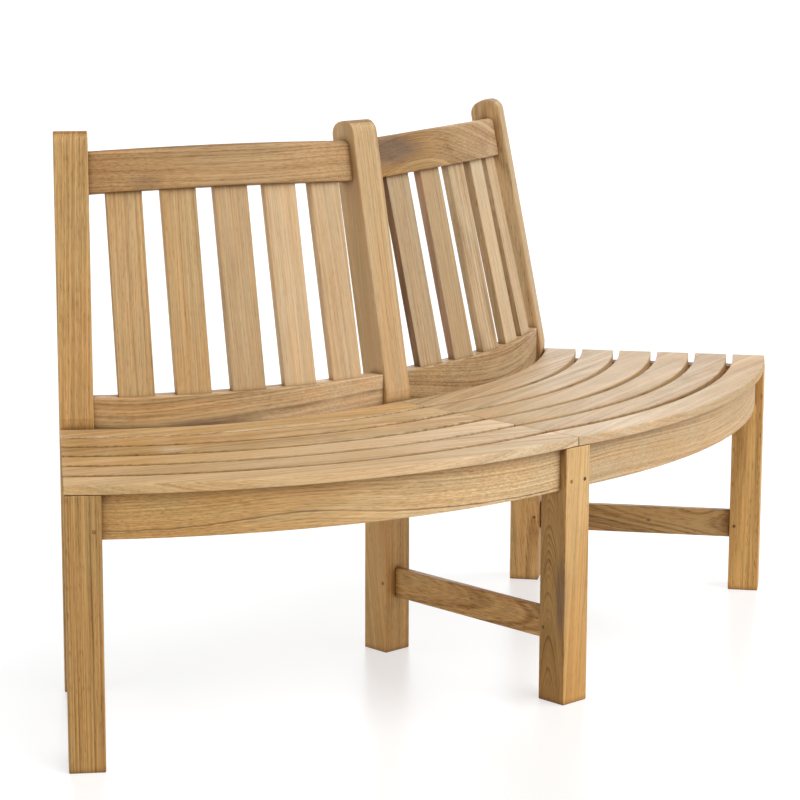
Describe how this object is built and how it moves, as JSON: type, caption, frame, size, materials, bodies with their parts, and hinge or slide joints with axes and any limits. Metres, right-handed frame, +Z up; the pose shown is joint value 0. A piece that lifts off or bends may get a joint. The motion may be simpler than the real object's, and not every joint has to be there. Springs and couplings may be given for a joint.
{
  "type": "curved garden bench",
  "caption": "Curved slatted wooden garden bench in two joined sections, with a raked slatted back and square legs, for standing round a tree or a round table.",
  "frame": {"origin": "on the floor under the middle of the bench's box in plan", "axes": "+Z up; -Y is the way a person on the middle of the bench faces; +X to the right seen from in front, along the bench"},
  "size_m": [1.6454, 0.7294, 0.9213],
  "materials": {
    "front_leg": "oiled teak, fine straight grain, satin",
    "back_post": "oiled teak, fine straight grain, satin",
    "bearer": "planed teak, satin",
    "stretcher": "oiled teak with cathedral grain and a knot, satin",
    "apron": "oiled teak, long open grain, satin",
    "seat_slat": "sanded teak, pale, satin",
    "back_rail": "oiled teak with dark streaks and swirling grain, satin",
    "back_slat": "oiled teak, straight grain, satin",
    "peg": "teak dowel, end grain, matt"
  },
  "bodies": {
    "root": {"front_leg_left": "front_leg", "front_leg_middle": "front_leg", "front_leg_right": "front_leg", "back_post_left": "back_post", "back_post_middle": "back_post", "back_post_right": "back_post", "seat_bearer_left": "bearer", "seat_bearer_middle": "bearer", "seat_bearer_right": "bearer", "middle_bearer_left": "bearer", "middle_bearer_right": "bearer", "stretcher_left": "stretcher", "stretcher_middle": "stretcher", "stretcher_right": "stretcher", "front_apron_left": "apron", "front_apron_right": "apron", "rear_apron_left": "apron", "rear_apron_right": "apron", "seat_slat_left_1": "seat_slat", "seat_slat_left_2": "seat_slat", "seat_slat_left_3": "seat_slat", "seat_slat_left_4": "seat_slat", "seat_slat_left_5": "seat_slat", "seat_slat_left_6": "seat_slat", "seat_slat_right_1": "seat_slat", "seat_slat_right_2": "seat_slat", "seat_slat_right_3": "seat_slat", "seat_slat_right_4": "seat_slat", "seat_slat_right_5": "seat_slat", "seat_slat_right_6": "seat_slat", "lower_back_rail_left": "back_rail", "lower_back_rail_right": "back_rail", "top_back_rail_left": "back_rail", "top_back_rail_right": "back_rail", "back_slat_left_1": "back_slat", "back_slat_left_2": "back_slat", "back_slat_left_3": "back_slat", "back_slat_left_4": "back_slat", "back_slat_left_5": "back_slat", "back_slat_right_1": "back_slat", "back_slat_right_2": "back_slat", "back_slat_right_3": "back_slat", "back_slat_right_4": "back_slat", "back_slat_right_5": "back_slat", "apron_peg_left": "peg", "apron_peg_middle_left": "peg", "apron_peg_middle_right": "peg", "apron_peg_right": "peg", "stretcher_peg_left_front": "peg", "stretcher_peg_left_rear": "peg", "stretcher_peg_middle_front": "peg", "stretcher_peg_middle_rear": "peg", "stretcher_peg_right_front": "peg", "stretcher_peg_right_rear": "peg"}
  },
  "joints": []
}
